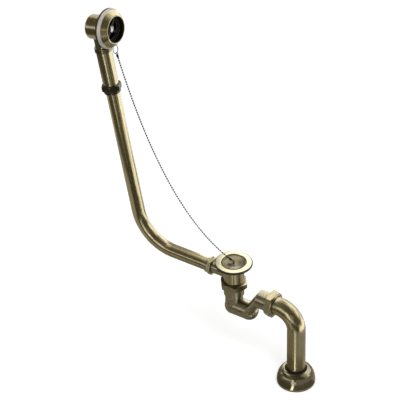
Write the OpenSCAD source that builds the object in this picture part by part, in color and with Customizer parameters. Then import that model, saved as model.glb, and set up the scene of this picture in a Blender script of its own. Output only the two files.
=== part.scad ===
// Exposed bath waste with overflow, plug, ball chain and trap.
// Origin: centre of the waste flange's top face. +Z up, overflow towards -X, outlet towards +X.

/* [Plug and waste flange] */
// Radius of the waste flange
flange_r = 33.4; // [32:0.1:42]
// How far the flange's edge lies below its crown
flange_drop = 0.7; // [0.6:0.1:3]
// Height of the lip at the flange's edge
flange_lip = 1; // [0.8:0.1:2]
// Thickness of the metal under the plug's recess
floor_t = 2.4; // [1.5:0.1:4]
// Radius of the hub under the flange
hub_r = 24.6; // [23.8:0.1:27]
// Radius of the plug's recess at its top
recess_r = 23.4; // [22.5:0.1:24]
// Depth of the plug's recess
recess_h = 4; // [3.4:0.1:6]
// Outer radius of the threaded tail under the flange
tail_r = 16.6; // [16:0.1:16.8]
// Radius of the way through the tail
tail_bore_r = 13.4; // [12:0.1:14]
// Length of the tail under the hub
tail_l = 10; // [8:0.5:10.5]
// Width of each bar in the waste's cross
cross_w = 3; // [2:0.5:5]
// Height of the cross
cross_h = 3; // [2:0.5:5]
// Thickness of the rubber washer under the flange
washer_t = 2.4; // [1.6:0.1:4]
// How far the washer's edge stands past the flange's edge
washer_out = 1.7; // [0:0.1:3]
// Thickness of the plug's cap at its rim
cap_t = 3.4; // [3:0.1:3.8]
// Gap between the plug's cap and its recess
plug_gap = 0.4; // [0.2:0.05:0.6]
// Depth of the dish in the plug's face
dish_h = 2.2; // [1:0.1:2.4]
// Width of the plug's flat rim
plug_rim = 1.4; // [1:0.1:3]
// Radius of the plug's stem
stem_r = 9; // [7:0.5:10]
// Height of the plug's rubber ring
seal_h = 5; // [4:0.5:6]
// Mean radius of the eye on the plug
eye_r = 2; // [1.8:0.1:2.4]
// Thickness of the eye's wire
eye_wire = 1.1; // [0.9:0.1:1.2]

/* [Waste body] */
// Outer radius of the body's neck
body_r = 19.3; // [19:0.1:20.5]
// Level of the neck's lower end
body_z = -42.5; // [-50:0.5:-42.5]
// Radius of the chamber in the body
chamber_r = 15.4; // [14.8:0.1:16]
// Outer radius of the tail pipe under the neck
tail_pipe_r = 14.5; // [14:0.1:14.8]
// Wall of the tail pipe
tail_pipe_wall = 1.8; // [1.2:0.1:2.4]
// How far the tail pipe reaches below the trap nut
tail_pipe_in = 12; // [8:0.5:14]
// Level of the overflow inlet's axis
inlet_z = -28.5; // [-30:0.5:-28]
// Outer radius of the inlet branch
branch_r = 12.2; // [12:0.1:13]
// Distance from the body's axis to the end of the branch's plain part
branch_l = 44; // [40:0.5:50]

/* [Overflow pipe] */
// Outer radius of the overflow pipe
pipe_r = 12.7; // [11.5:0.1:13]
// Wall of the overflow pipe
pipe_wall = 1.2; // [0.8:0.1:1.6]
// Distance from the body's axis to the start of the bend
bend_x = 134; // [110:1:160]
// Radius of the bend on the pipe's axis
bend_r = 78; // [60:1:100]
// Lean of the upper pipe from the vertical
lean = 10.5; // [0:0.5:15]
// Distance from the bend's upper end to the overflow's centre
rise_l = 384.7; // [340:1:440]
// Outer radius of the upper sliding tube
slide_r = 14.4; // [14.2:0.1:15]
// Distance from the overflow's centre to the middle nut's top
middle_at = 114.5; // [100:0.5:140]
// Length of pipe that stands inside the upper tube
overlap_l = 30; // [15:1:50]

/* [Nuts] */
// Radius of the round nut under the overflow head
head_nut_r = 16; // [15.8:0.1:18]
// Distance from the overflow's centre to the head nut's top
head_nut_at = 38; // [34:0.5:42]
// Length of the head nut
head_nut_l = 9.5; // [8:0.5:14]
// Width of the middle nut's hexagon across its flats
middle_nut_af = 32.9; // [32.5:0.1:37]
// Length of the middle nut's hexagon
middle_hex_l = 12; // [10:0.5:18]
// Length of the middle nut's round skirt
middle_skirt_l = 5; // [4:0.5:14]
// Turn of the middle nut about its pipe
middle_turn = 5; // [0:1:59]
// Width of the inlet nut's hexagon across its flats
inlet_nut_af = 31.2; // [31:0.1:37]
// Length of the inlet nut's hexagon
inlet_hex_l = 8; // [7:0.5:10]
// Length of the inlet nut's round skirt
inlet_skirt_l = 5; // [4.5:0.5:10]
// Turn of the inlet nut about its pipe
inlet_turn = 24; // [0:1:59]
// Width of the trap nut's hexagon across its flats
trap_nut_af = 46.8; // [44:0.1:50]
// Length of the trap nut's hexagon
trap_hex_l = 12; // [11:0.5:14]
// Turn of the trap nut about its pipe
trap_turn = 8; // [0:1:59]
// Thickness of each nut's lip
lip_t = 2.5; // [2:0.1:3]
// Length of the sealing ring in the pipe nuts
olive_l = 5; // [4:0.5:5.5]
// Width of the outlet nut's hexagon across its flats
outlet_nut_af = 45.2; // [43:0.1:50]
// Length of the outlet nut's hexagon
outlet_hex_l = 13; // [9:0.5:15]
// Length of the outlet nut's round collar
outlet_skirt_l = 1.5; // [1.5:0.5:8]
// Turn of the outlet nut about its pipe
outlet_turn = 37; // [0:1:59]

/* [Trap and outlet] */
// Outer radius of the trap's cast runs
trap_r = 18; // [17:0.1:19]
// Outer radius of the trap's down leg
leg_r = 16.8; // [16.6:0.1:17]
// Wall of the trap
trap_wall = 2.6; // [2:0.1:3]
// Length of the round collar at the top of the down leg
collar_l = 18; // [14:0.5:20]
// Radius of that collar
collar_r = 19.2; // [18.6:0.1:20]
// Level of the trap's lower run
trap_z = -100; // [-112:1:-98]
// Distance from the down leg to the foot of the rising leg
rise_x = 33; // [30:1:45]
// Distance from the down leg to the head of the rising leg
outlet_x = 56; // [50:1:70]
// Level of the outlet's axis
outlet_z = -63; // [-66:0.5:-60]
// Distance from the down leg to the outlet nut's near face
outlet_nut_x = 78; // [74:0.5:84]
// Outer radius of the outlet pipe
out_pipe_r = 17.4; // [17:0.1:18]
// Wall of the outlet pipe
out_pipe_wall = 1.5; // [1:0.1:2]
// Distance from the down leg to the outlet pipe's upright part
drop_x = 135.4; // [132:0.5:170]
// Radius of the outlet bend on its axis
out_bend_r = 38; // [34:1:40]
// Level of the floor under the flange
floor_z = -222.5; // [-300:0.5:-180]
// How far the pipe's open end stays above the floor
pipe_end_gap = 4; // [0:0.5:10]

/* [Floor flange] */
// Radius of the floor flange's foot
rose_r = 36; // [34:0.5:45]
// Height of the floor flange
rose_h = 30; // [24:1:40]
// Height of the upright rim at the foot
rose_rim_h = 3; // [2:0.5:5]
// Gap between the outlet pipe and the flange's top hole
rose_gap = 4; // [2:0.5:6]
// Wall of the floor flange
rose_wall = 1.6; // [1:0.1:2.5]

/* [Overflow head] */
// Outer radius of the cup behind the bath wall
cup_r = 22.5; // [22:0.5:25]
// Distance from the pipe's axis back to the cup's closed end
cup_back = 15.2; // [13:0.1:18]
// Distance from the pipe's axis to the face's back edge
face_at = 23.4; // [23:0.5:27]
// Wall of the cup
cup_wall = 2.4; // [2:0.1:3]
// Radius of the face at its back edge
face_r = 36.4; // [35.4:0.1:40]
// Radius of the face at the front edge of its rim
rim_r = 33.9; // [33:0.1:35]
// Thickness of the face's rim
face_rim_t = 6.4; // [6:0.1:9]
// Depth of the face from its back edge to the mouth
face_t = 15.9; // [14:0.5:18]
// Outer radius of the mouth's edge
mouth_edge_r = 25.4; // [25:0.1:27]
// Radius of the mouth
mouth_r = 23.3; // [22:0.1:23.5]
// Thickness of the rubber gasket behind the face
gasket_t = 3; // [1.5:0.1:3]
// Depth of the screw's seat behind the mouth's edge
screw_depth = 11; // [9:0.5:12]

/* [Chain] */
// Diameter of a chain bead
bead_d = 3.2; // [3:0.1:3.6]
// Distance between bead centres
bead_pitch = 4.8; // [4.6:0.1:5.4]
// Wall of a hollow bead
bead_wall = 0.35; // [0.3:0.05:0.5]
// Diameter of the pin between two beads
pin_d = 0.7; // [0.5:0.1:0.7]
// Angle from the vertical at which the chain leaves the ring
ring_swing = 17; // [15:0.5:26]
// Mean radius of the wire ring at the overflow
ring_r = 7.6; // [7:0.1:8.5]
// Turn of the ring from the plane of the pipes
ring_turn = 84; // [75:1:100]
// Diameter of the ring's wire
wire_d = 1.3; // [1:0.1:1.4]

/* [Hidden] */
$fn = 96;
// Clearance of a part that slides over or screws into another
slip = 0.15;
// Depth by which a cut runs past a face
cut = 1;
// Bevel on edges
bevel = 0.8;
// Slope of the chamfer at each end of a hexagon
chamfer_slope = 30;

// Levels under the waste flange
edge_z = -flange_drop - flange_lip;
hub_z = -recess_h - floor_t;
tail_end_z = hub_z - tail_l;
chamber_z = body_z + 3;
seal_r = tail_bore_r + 1.4;
cap_z = -recess_h;
cap_top = cap_z + cap_t;
dish_z = cap_top - dish_h;
dish_out_r = recess_r - plug_gap - plug_rim;
dish_in_r = 3;
dish_steps = 7;
plug_end_z = cap_z - seal_h;
eye_z = dish_z + eye_r + eye_wire + 0.4;

// Trap nut and the joint that it closes
trap_nut_z = body_z - trap_hex_l;
collar_end_z = trap_nut_z - collar_l;
trap_olive_l = 3.5;
trap_mouth_z = body_z - lip_t - trap_olive_l;
nut_wall = 6;
trap_thread_r = trap_nut_af / 2 - nut_wall;
trap_in_r = trap_r - trap_wall;
joint_step = 0.2;
tail_pipe_end = trap_nut_z - tail_pipe_in;

// Lengths along each pipe from the fitting to its nut and pipe end
socket_l = 6;
branch_thread_r = inlet_nut_af / 2 - 1.8;
inlet_nut_l = inlet_hex_l + inlet_skirt_l;
inlet_boss_l = inlet_nut_l - lip_t - olive_l;
pipe_start = branch_l + inlet_boss_l - socket_l;
outlet_nut_l = outlet_hex_l + outlet_skirt_l;
outlet_boss_l = outlet_nut_l - lip_t - olive_l;
outlet_boss_r = outlet_nut_af / 2 - 1.8;
out_pipe_start = outlet_nut_x + outlet_boss_l - socket_l;
rose_hole_r = out_pipe_r + rose_gap;
land_h = 5;

// The overflow pipe's bend and the frame of the overflow head
turn = 90 - lean;
bend_c = [-bend_x, inlet_z + bend_r];
bend_end = [bend_c[0] - bend_r * cos(lean), bend_c[1] - bend_r * sin(lean)];
head_p = [bend_end[0] - rise_l * sin(lean), bend_end[1] + rise_l * cos(lean)];
spigot_past = 4;
spigot_l = head_nut_at + spigot_past;
head_washer_t = 2;
tube_top = spigot_l + head_washer_t;
middle_nut_l = middle_hex_l + middle_skirt_l;
tube_end = middle_at + middle_nut_l - lip_t - olive_l;
pipe_top = tube_end - overlap_l;
neck_r = 13.4;
// Each bend is drawn a little thinner than the straight runs that lap over its ends
lap = 0.5;
draw_in = 0.05;

// Planes across the overflow head, measured along its axis
gasket_out = 0.4;
mouth_at = face_at + face_t;
gasket_at = face_at - gasket_t;
hub_at = mouth_at - screw_depth;
insert_t = 2.6;
ledge_t = 2;
screw_r = 2.9;
screw_head_r = 6.3;
screw_head_t = 3.4;
boss_l = 8;
screw_in = 5;
screw_end = cup_wall - cup_back + boss_l - screw_in;
bar_w = 4;
// The groove in the face's back, under the gasket
groove_in_r = 27;
groove_out_r = 32;
groove_h = 4;

// The wire ring bites through the rim's lower edge
ring_bite = 3.1;
ring_o = face_at + 3.8;

// Points and directions are [x, z] in the plane of the pipes
function head_point(o, k) = [head_p[0] + o * cos(lean) + k * sin(lean),
    head_p[1] + o * sin(lean) - k * cos(lean)];
function along(p, ang, l) = [p[0] + l * sin(ang), p[1] + l * cos(ang)];

// The chain hangs in a catenary z = a cosh((x - x0) / a) + c
function sinh(v) = (exp(v) - exp(-v)) / 2;
function cosh(v) = (exp(v) + exp(-v)) / 2;
function asinh(v) = ln(v + sqrt(v * v + 1));
function low_x(a, p, q) = (p[0] + q[0]) / 2
    - a * asinh((p[1] - q[1]) / (2 * a * sinh((p[0] - q[0]) / (2 * a))));
function end_slope(a, p, q) = sinh((p[0] - low_x(a, p, q)) / a);
function solve_a(p, q, slope, lo, hi, n) = n == 0 ? sqrt(lo * hi)
    : end_slope(sqrt(lo * hi), p, q) < slope ? solve_a(p, q, slope, sqrt(lo * hi), hi, n - 1)
    : solve_a(p, q, slope, lo, sqrt(lo * hi), n - 1);

loop_r = 2;
loop_wire = 1;
half_turn = 180;
pull_ang = half_turn - ring_swing;
ring_hole = head_point(ring_o, face_r - ring_bite);
ring_c = along(ring_hole, pull_ang, ring_r);
chain_top = along(ring_c, pull_ang, ring_r + loop_r - (wire_d + loop_wire) / 2 - 0.1);
eye_pull = 70;
chain_low = along([0, eye_z], -eye_pull, eye_r + loop_r - (eye_wire + loop_wire) / 2 - 0.1);
// Bounds and steps of the search for the catenary
a_low = 40;
a_high = 4000;
a_steps = 40;
chain_a = solve_a(chain_top, chain_low, -1 / tan(ring_swing), a_low, a_high, a_steps);
chain_x0 = low_x(chain_a, chain_top, chain_low);
function arc_s(x) = chain_a * sinh((x - chain_x0) / chain_a);
function arc_x(s) = chain_x0 + chain_a * asinh(s / chain_a);
chain_c = chain_top[1] - chain_a * cosh((chain_top[0] - chain_x0) / chain_a);
function arc_point(s) = [arc_x(s), chain_c + sqrt(chain_a * chain_a + s * s)];
function arc_ang(s) = 90 - atan(s / chain_a);
sleeve_at = loop_r + loop_wire / 2 - 0.2;
bead_at = sleeve_at + 0.8 + bead_d / 2;
sleeve_l = bead_d + 1.8;
s_first = arc_s(chain_top[0]) + bead_at;
s_last = arc_s(chain_low[0]) - bead_at;
bead_n = round((s_last - s_first) / bead_pitch);
pitch = (s_last - s_first) / bead_n;
hole_r = pin_d / 2 + 0.1;
pin_head_r = hole_r + 0.07;
pin_head_at = pin_head_r + 0.1;

brass = "darkkhaki";
pale = "khaki";
dark = "dimgray";

// Frames: each child is drawn along +Z of its own run
module at_inlet() {
    translate([0, 0, inlet_z]) rotate([0, -90, 0]) children();
}

module at_outlet() {
    translate([0, 0, outlet_z]) rotate([0, 90, 0]) children();
}

module at_head() {
    translate([head_p[0], 0, head_p[1]]) rotate([0, -lean, 0]) children();
}

// Down the upper pipe from the overflow's centre
module down_pipe(k) {
    at_head() translate([0, 0, -k]) rotate([180, 0, 0]) children();
}

// Across the overflow head towards the bath
module across_head(o) {
    at_head() translate([o, 0, 0]) rotate([0, 90, 0]) children();
}

module at_point(p, ang) {
    translate([p[0], 0, p[1]]) rotate([0, ang, 0]) children();
}

module tube(r, bore, l) {
    difference() {
        cylinder(r = r, h = l);
        translate([0, 0, -cut]) cylinder(r = bore, h = l + 2 * cut);
    }
}

module bent_tube(bend, r, bore, angle) {
    rotate_extrude(angle = angle) translate([bend, 0]) difference() {
        circle(r = r);
        circle(r = bore);
    }
}

module torus(r, wire) {
    rotate_extrude() translate([r, 0]) circle(d = wire, $fn = 32);
}

// A hexagon with both ends chamfered to a round face
module hex_body(af, l, turned) {
    corner = af / sqrt(3);
    round_r = af / 2 - 0.2;
    edge_r = corner + 0.1;
    chamfer = (edge_r - round_r) * tan(chamfer_slope);
    intersection() {
        rotate([0, 0, turned]) cylinder(r = corner, h = l, $fn = 6);
        rotate_extrude() polygon([[0, 0], [round_r, 0], [edge_r, chamfer],
            [edge_r, l - chamfer], [round_r, l], [0, l]]);
    }
}

// A compression nut: hexagon at the fitting, round skirt and lip at the pipe
module pipe_nut(af, hex_l, skirt_l, skirt_r, thread, pass_r, turned) {
    l = hex_l + skirt_l;
    difference() {
        union() {
            hex_body(af, hex_l, turned);
            rotate_extrude() polygon([[0, hex_l - bevel], [skirt_r, hex_l - bevel],
                [skirt_r, l - bevel], [skirt_r - bevel, l], [0, l]]);
        }
        translate([0, 0, -cut]) cylinder(r = thread + slip, h = l - lip_t + cut);
        cylinder(r = pass_r + slip, h = l + cut);
    }
}

// A sealing ring with a bevelled outside
module olive(inner, outer, l) {
    rotate_extrude() polygon([[inner, 0], [outer - 0.5, 0], [outer, l / 4],
        [outer, 3 * l / 4], [outer - 0.5, l], [inner, l]]);
}

module waste_flange() color(pale) {
    rotate_extrude() polygon(concat(
        [[tail_bore_r, tail_end_z], [tail_r - bevel, tail_end_z], [tail_r, tail_end_z + bevel],
         [tail_r, hub_z], [hub_r, hub_z], [hub_r, edge_z], [flange_r - 0.5, edge_z],
         [flange_r, edge_z + 0.5], [flange_r, -flange_drop]],
        [for (i = [0 : 6]) [flange_r - 0.6 - (flange_r - 0.6 - recess_r - 1) * i / 6,
            -flange_drop + 0.5 + (flange_drop - 0.5) * sin(90 * i / 6)]],
        [[recess_r, -0.6], [recess_r - 0.6, -recess_h], [seal_r, -recess_h],
         [tail_bore_r, plug_end_z - 1]]));
    for (a = [0, 90]) {
        rotate([0, 0, a]) translate([-tail_bore_r - 1, -cross_w / 2, tail_end_z])
            cube([2 * tail_bore_r + 2, cross_w, cross_h]);
    }
}

module flange_washer() color(dark) {
    translate([0, 0, edge_z - washer_t])
        tube(flange_r + washer_out, hub_r + slip, washer_t);
}

module plug() color(brass) {
    difference() {
        rotate_extrude() polygon(concat([[0, plug_end_z - 1], [stem_r + 2, plug_end_z - 1],
            [stem_r + 2, plug_end_z], [stem_r, plug_end_z], [stem_r, cap_z],
            [recess_r - 0.6 - plug_gap - 0.2, cap_z], [recess_r - plug_gap, cap_top - 0.4],
            [recess_r - plug_gap - 0.4, cap_top]], [for (i = [dish_steps : -1 : 0])
                [dish_in_r + (dish_out_r - dish_in_r) * i / dish_steps,
                 dish_z + dish_h * pow(i / dish_steps, 2)]],
            [[0, dish_z]]));
        translate([0, 0, plug_end_z - 1 - cut])
            cylinder(r = eye_wire + slip, h = dish_z - plug_end_z + 1 + 2 * cut);
    }
}

module plug_ring() color(dark) {
    rotate_extrude() polygon([[stem_r + 0.05, plug_end_z], [tail_bore_r - 0.3, plug_end_z],
        [seal_r - 0.35, cap_z], [stem_r + 0.05, cap_z]]);
}

// A turned eye whose shank is riveted through the plug
module plug_eye() color(dark) {
    translate([0, 0, eye_z]) rotate([90, 0, 0]) torus(eye_r, eye_wire);
    translate([0, 0, plug_end_z - 1]) cylinder(r = eye_wire, h = dish_z - plug_end_z + 1);
    translate([0, 0, dish_z]) cylinder(r1 = eye_wire + 1, r2 = eye_wire * 0.7, h = 1.2);
}

module waste_body() color(brass) {
    difference() {
        union() {
            translate([0, 0, body_z]) cylinder(r = body_r, h = hub_z - body_z);
            translate([0, 0, tail_pipe_end]) cylinder(r = tail_pipe_r, h = body_z - tail_pipe_end + cut);
            at_inlet() cylinder(r = branch_r, h = branch_l + cut);
            at_inlet() translate([0, 0, branch_l]) cylinder(r = branch_thread_r, h = inlet_boss_l);
        }
        translate([0, 0, tail_end_z - 0.5]) cylinder(r = tail_r + slip, h = tail_l + 0.5 + cut);
        translate([0, 0, chamber_z]) cylinder(r = chamber_r, h = tail_end_z - chamber_z);
        translate([0, 0, tail_pipe_end - cut])
            cylinder(r = tail_pipe_r - tail_pipe_wall, h = chamber_z - tail_pipe_end + 2 * cut);
        at_inlet() cylinder(r = pipe_r - 2.4, h = branch_l + inlet_boss_l + cut);
        at_inlet() translate([0, 0, pipe_start]) cylinder(r = pipe_r + slip, h = socket_l + cut);
    }
}

module inlet_nut() color(brass) {
    at_inlet() translate([0, 0, branch_l])
        pipe_nut(inlet_nut_af, inlet_hex_l, inlet_skirt_l, inlet_nut_af / 2 - 0.6,
            branch_thread_r, pipe_r, inlet_turn);
}

module inlet_olive() color(pale) {
    at_inlet() translate([0, 0, branch_l + inlet_boss_l])
        olive(pipe_r + 0.05, branch_thread_r, olive_l);
}

module overflow_pipe() color(brass) {
    bore = pipe_r - pipe_wall;
    at_inlet() translate([0, 0, pipe_start]) tube(pipe_r, bore, bend_x + lap - pipe_start);
    translate([bend_c[0], 0, bend_c[1]]) rotate([0, 180 - lean, 0]) rotate([90, 0, 0])
        bent_tube(bend_r, pipe_r - draw_in, bore - draw_in, turn);
    down_pipe(pipe_top) tube(pipe_r, bore, rise_l + lap - pipe_top);
}

module middle_nut() color(brass) {
    down_pipe(middle_at)
        pipe_nut(middle_nut_af, middle_hex_l, middle_skirt_l, middle_nut_af / 2 - 0.7,
            slide_r, pipe_r, middle_turn);
}

module middle_olive() color(dark) {
    down_pipe(tube_end) olive(pipe_r + 0.05, slide_r, olive_l);
}

module upper_tube() color(brass) {
    down_pipe(tube_top) tube(slide_r, pipe_r + slip, tube_end - tube_top);
}

// A round coupling screwed on the cup's spigot and on the upper tube
module head_nut() color(brass) {
    bore = slide_r + slip;
    down_pipe(head_nut_at) rotate_extrude() polygon([[bore, 0], [head_nut_r - bevel, 0],
        [head_nut_r, bevel], [head_nut_r, head_nut_l - bevel],
        [head_nut_r - bevel, head_nut_l], [bore, head_nut_l]]);
}

module head_washer() color(dark) {
    down_pipe(spigot_l) tube(slide_r, pipe_r - 1.2, head_washer_t);
}

// The closed cup with its threaded spigot
module overflow_cup() color(brass) {
    difference() {
        union() {
            across_head(-cup_back) rotate_extrude() polygon(concat([[0, 0]],
                [for (i = [0 : 5]) [cup_r - 3 + 3 * sin(18 * i), 3 - 3 * cos(18 * i)]],
                [[cup_r, cup_back + face_at], [0, cup_back + face_at]]));
            down_pipe(0) cylinder(r = neck_r, h = head_nut_at + cut);
            down_pipe(head_nut_at) cylinder(r = slide_r, h = spigot_l - head_nut_at);
        }
        difference() {
            across_head(cup_wall - cup_back) cylinder(r = cup_r - cup_wall, h = 4 * cup_r);
            across_head(cup_wall - cup_back - cut) cylinder(r = 2 * screw_r, h = boss_l + cut);
        }
        down_pipe(0) cylinder(r = neck_r - 2, h = spigot_l + cut);
        across_head(cup_wall - cup_back) cylinder(r = screw_r + slip, h = boss_l + cut);
    }
}

module overflow_gasket() color(dark) {
    across_head(gasket_at) tube(face_r + gasket_out, cup_r + slip, gasket_t);
}

// The ring's path, as a solid of a given wire thickness
module ring_form(wire) {
    at_point(ring_c, pull_ang) rotate([0, 0, ring_turn]) rotate([90, 0, 0]) torus(ring_r, wire);
}

module overflow_face() color(pale) {
    difference() {
        across_head(face_at) rotate_extrude() polygon([[mouth_r - 2, 0], [groove_in_r, 0],
            [groove_in_r, groove_h], [groove_out_r, groove_h], [groove_out_r, 0],
            [face_r - 0.5, 0], [face_r, 0.5], [rim_r + 0.3, face_rim_t - 0.7],
            [rim_r - 0.3, face_rim_t], [mouth_edge_r + 0.6, face_t - 0.5],
            [mouth_edge_r - 0.2, face_t], [mouth_r + 0.4, face_t], [mouth_r, face_t - 0.4],
            [mouth_r, ledge_t], [mouth_r - 2, ledge_t]]);
        ring_form(wire_d + 0.6);
    }
}

// A black moulded bar-and-hub piece that the screw pulls against the face's ledge
module overflow_insert() color("black") {
    l = hub_at - face_at - ledge_t;
    across_head(face_at + ledge_t) difference() {
        union() {
            tube(mouth_r - slip, mouth_r - 1.6, l);
            translate([0, 0, l - insert_t]) cylinder(r = screw_head_r + 1.4, h = insert_t);
            for (a = [0 : 90 : 270]) {
                rotate([0, 0, a + 45]) translate([screw_head_r, -bar_w / 2, l - insert_t])
                    cube([mouth_r - 1 - screw_head_r, bar_w, insert_t]);
            }
        }
        translate([0, 0, -cut]) cylinder(r = screw_r + slip, h = l + 2 * cut);
    }
}

module overflow_screw() color("silver") {
    across_head(hub_at) difference() {
        union() {
            rotate_extrude() polygon(concat([[0, 0], [screw_head_r, 0], [screw_head_r, 1]],
                [for (i = [1 : 6]) [screw_head_r * cos(15 * i), 1 + (screw_head_t - 1) * sin(15 * i)]]));
            translate([0, 0, screw_end - hub_at]) cylinder(r = screw_r, h = hub_at - screw_end + slip);
        }
        translate([-screw_head_r - cut, -0.7, screw_head_t - 1.6])
            cube([2 * (screw_head_r + cut), 1.4, 3]);
    }
}

module chain_ring() color("silver") {
    ring_form(wire_d);
}

// A slotted sleeve that holds the last bead, with a turned loop at its closed end
module clasp(turned) {
    rotate([0, 0, turned]) rotate([0, 90, 0]) torus(loop_r, loop_wire);
    translate([0, 0, sleeve_at]) difference() {
        cylinder(r = bead_d / 2 + 0.5, h = sleeve_l);
        translate([0, 0, 0.6]) cylinder(r = bead_d / 2 + 0.1, h = sleeve_l - 1.2);
        translate([0, 0, 0.6 + cut]) cylinder(r = hole_r, h = sleeve_l);
        translate([0, -bead_d / 2 - 0.1, 0.6]) cube([bead_d, bead_d + 0.2, sleeve_l - 1.2]);
        translate([0, -hole_r, 0.6 + cut]) cube([bead_d, 2 * hole_r, sleeve_l]);
    }
}

module upper_clasp() color("silver") {
    at_point(chain_top, arc_ang(arc_s(chain_top[0]))) clasp(ring_turn);
}

module lower_clasp() color("silver") {
    at_point(chain_low, arc_ang(arc_s(chain_low[0])) + half_turn) clasp(0);
}

// Hollow balls with a hole at each end
module chain_beads() color("darkgray") {
    for (i = [0 : bead_n]) {
        at_point(arc_point(s_first + i * pitch), arc_ang(s_first + i * pitch)) difference() {
            sphere(d = bead_d, $fn = 24);
            sphere(d = bead_d - 2 * bead_wall, $fn = 24);
            translate([0, 0, -bead_d]) cylinder(r = hole_r, h = 2 * bead_d, $fn = 16);
        }
    }
}

// Pins with a head inside each of the two balls that they join
module chain_pins() color("dimgray") {
    for (i = [0 : bead_n - 1]) {
        s = s_first + (i + 0.5) * pitch;
        reach = pitch / 2 - pin_head_at;
        at_point(arc_point(s), arc_ang(s)) {
            translate([0, 0, -reach]) cylinder(d = pin_d, h = 2 * reach, $fn = 16);
            for (z = [-reach, reach]) {
                translate([0, 0, z]) sphere(r = pin_head_r, $fn = 16);
            }
        }
    }
}

// A hexagonal nut whose upper lip holds the trap's socket against the neck
module trap_nut() color(brass) {
    translate([0, 0, trap_nut_z]) difference() {
        hex_body(trap_nut_af, trap_hex_l, trap_turn);
        translate([0, 0, -cut]) cylinder(r = trap_thread_r + slip, h = trap_hex_l - lip_t + cut);
        cylinder(r = tail_pipe_r + slip, h = trap_hex_l + cut);
    }
}

module trap_olive() color(dark) {
    translate([0, 0, trap_mouth_z]) olive(tail_pipe_r + 0.05, trap_thread_r, trap_olive_l);
}

// The trap's runs at one radius: round corners, lower run and a rising leg with upright joints
module trap_form(r) {
    for (x = [0, rise_x]) {
        translate([x, 0, trap_z]) sphere(r = r);
    }
    translate([0, 0, trap_z]) rotate([0, 90, 0]) cylinder(r = r - joint_step, h = rise_x);
    hull() {
        translate([rise_x, 0, trap_z]) joint_disc(r);
        translate([outlet_x, 0, outlet_z]) joint_disc(r);
    }
}

module joint_disc(r) {
    rotate([0, 90, 0]) cylinder(r = r + joint_step / 2, h = 0.1, $fn = 48);
}

module trap_body() color(brass) {
    difference() {
        union() {
            trap_form(trap_r);
            translate([0, 0, trap_z]) cylinder(r = leg_r, h = collar_end_z - trap_z + cut);
            translate([0, 0, collar_end_z]) rotate_extrude() polygon([[0, 0],
                [collar_r - bevel, 0], [collar_r, bevel], [collar_r, collar_l - bevel],
                [collar_r - bevel, collar_l], [0, collar_l]]);
            translate([0, 0, trap_nut_z - cut])
                cylinder(r = trap_thread_r, h = trap_mouth_z - trap_nut_z + cut);
            at_outlet() translate([0, 0, outlet_x])
                cylinder(r = trap_r - joint_step, h = outlet_nut_x - outlet_x + cut);
            at_outlet() translate([0, 0, outlet_nut_x]) cylinder(r = outlet_boss_r, h = outlet_boss_l);
        }
        trap_form(trap_in_r);
        translate([0, 0, trap_z]) cylinder(r = leg_r - trap_wall, h = trap_mouth_z - trap_z + cut);
        translate([0, 0, tail_pipe_end - 0.5])
            cylinder(r = tail_pipe_r + slip, h = trap_mouth_z - tail_pipe_end + cut + 0.5);
        at_outlet() translate([0, 0, outlet_x])
            cylinder(r = trap_in_r - joint_step, h = outlet_nut_x + outlet_boss_l - outlet_x + cut);
        at_outlet() translate([0, 0, out_pipe_start])
            cylinder(r = out_pipe_r + slip, h = socket_l + cut);
    }
}

module outlet_nut() color(brass) {
    at_outlet() translate([0, 0, outlet_nut_x])
        pipe_nut(outlet_nut_af, outlet_hex_l, outlet_skirt_l, outlet_nut_af / 2 - 1.6,
            outlet_boss_r, out_pipe_r, outlet_turn);
}

module outlet_olive() color(dark) {
    at_outlet() translate([0, 0, outlet_nut_x + outlet_boss_l])
        olive(out_pipe_r + 0.05, outlet_boss_r, olive_l);
}

module outlet_pipe() color(brass) {
    bore = out_pipe_r - out_pipe_wall;
    at_outlet() translate([0, 0, out_pipe_start])
        tube(out_pipe_r, bore, drop_x - out_bend_r + lap - out_pipe_start);
    translate([drop_x - out_bend_r, 0, outlet_z - out_bend_r]) rotate([90, 0, 0])
        bent_tube(out_bend_r, out_pipe_r - draw_in, bore - draw_in, 90);
    translate([drop_x, 0, floor_z + pipe_end_gap])
        tube(out_pipe_r, bore, outlet_z - out_bend_r + lap - floor_z - pipe_end_gap);
}

// One side of the rose's bell, from the foot's rim up to its land
function bell(shift) = [for (i = [0 : 8])
    let (q = i / 8, top_r = rose_hole_r + rose_wall)
    [top_r + (rose_r - top_r) * cos(90 * q) - shift,
     rose_rim_h + (rose_h - 1 - rose_rim_h) * sin(90 * q) - (shift > 0 ? shift * q : 0)]];

module floor_flange() color(brass) {
    outer = bell(0);
    inner = bell(rose_wall);
    translate([drop_x, 0, floor_z]) rotate_extrude() polygon(concat(
        [[rose_r, 0]], outer,
        [[rose_hole_r + rose_wall, rose_h - 0.5], [rose_hole_r + rose_wall - 0.5, rose_h],
         [rose_hole_r, rose_h]],
        [for (i = [8 : -1 : 0]) inner[i]], [[rose_r - rose_wall, 0]]));
}

module floor_flange_ring() color("black") {
    translate([drop_x, 0, floor_z + rose_h - land_h])
        tube(rose_hole_r - 0.05, out_pipe_r + 0.05, land_h - 1.5);
}

waste_flange();
flange_washer();
plug();
plug_ring();
plug_eye();
waste_body();
inlet_nut();
inlet_olive();
overflow_pipe();
middle_nut();
middle_olive();
upper_tube();
head_nut();
head_washer();
overflow_cup();
overflow_gasket();
overflow_face();
overflow_insert();
overflow_screw();
chain_ring();
upper_clasp();
chain_beads();
chain_pins();
lower_clasp();
trap_nut();
trap_olive();
trap_body();
outlet_nut();
outlet_olive();
outlet_pipe();
floor_flange();
floor_flange_ring();
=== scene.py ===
"""Dresses the exposed bath waste: antique brass fittings, rubber seals, a ball chain and a plain studio."""

import logging
import math
from dataclasses import dataclass
from enum import Enum
from typing import Iterable, Optional, Union

import bpy
from mathutils import Matrix, Vector

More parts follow.
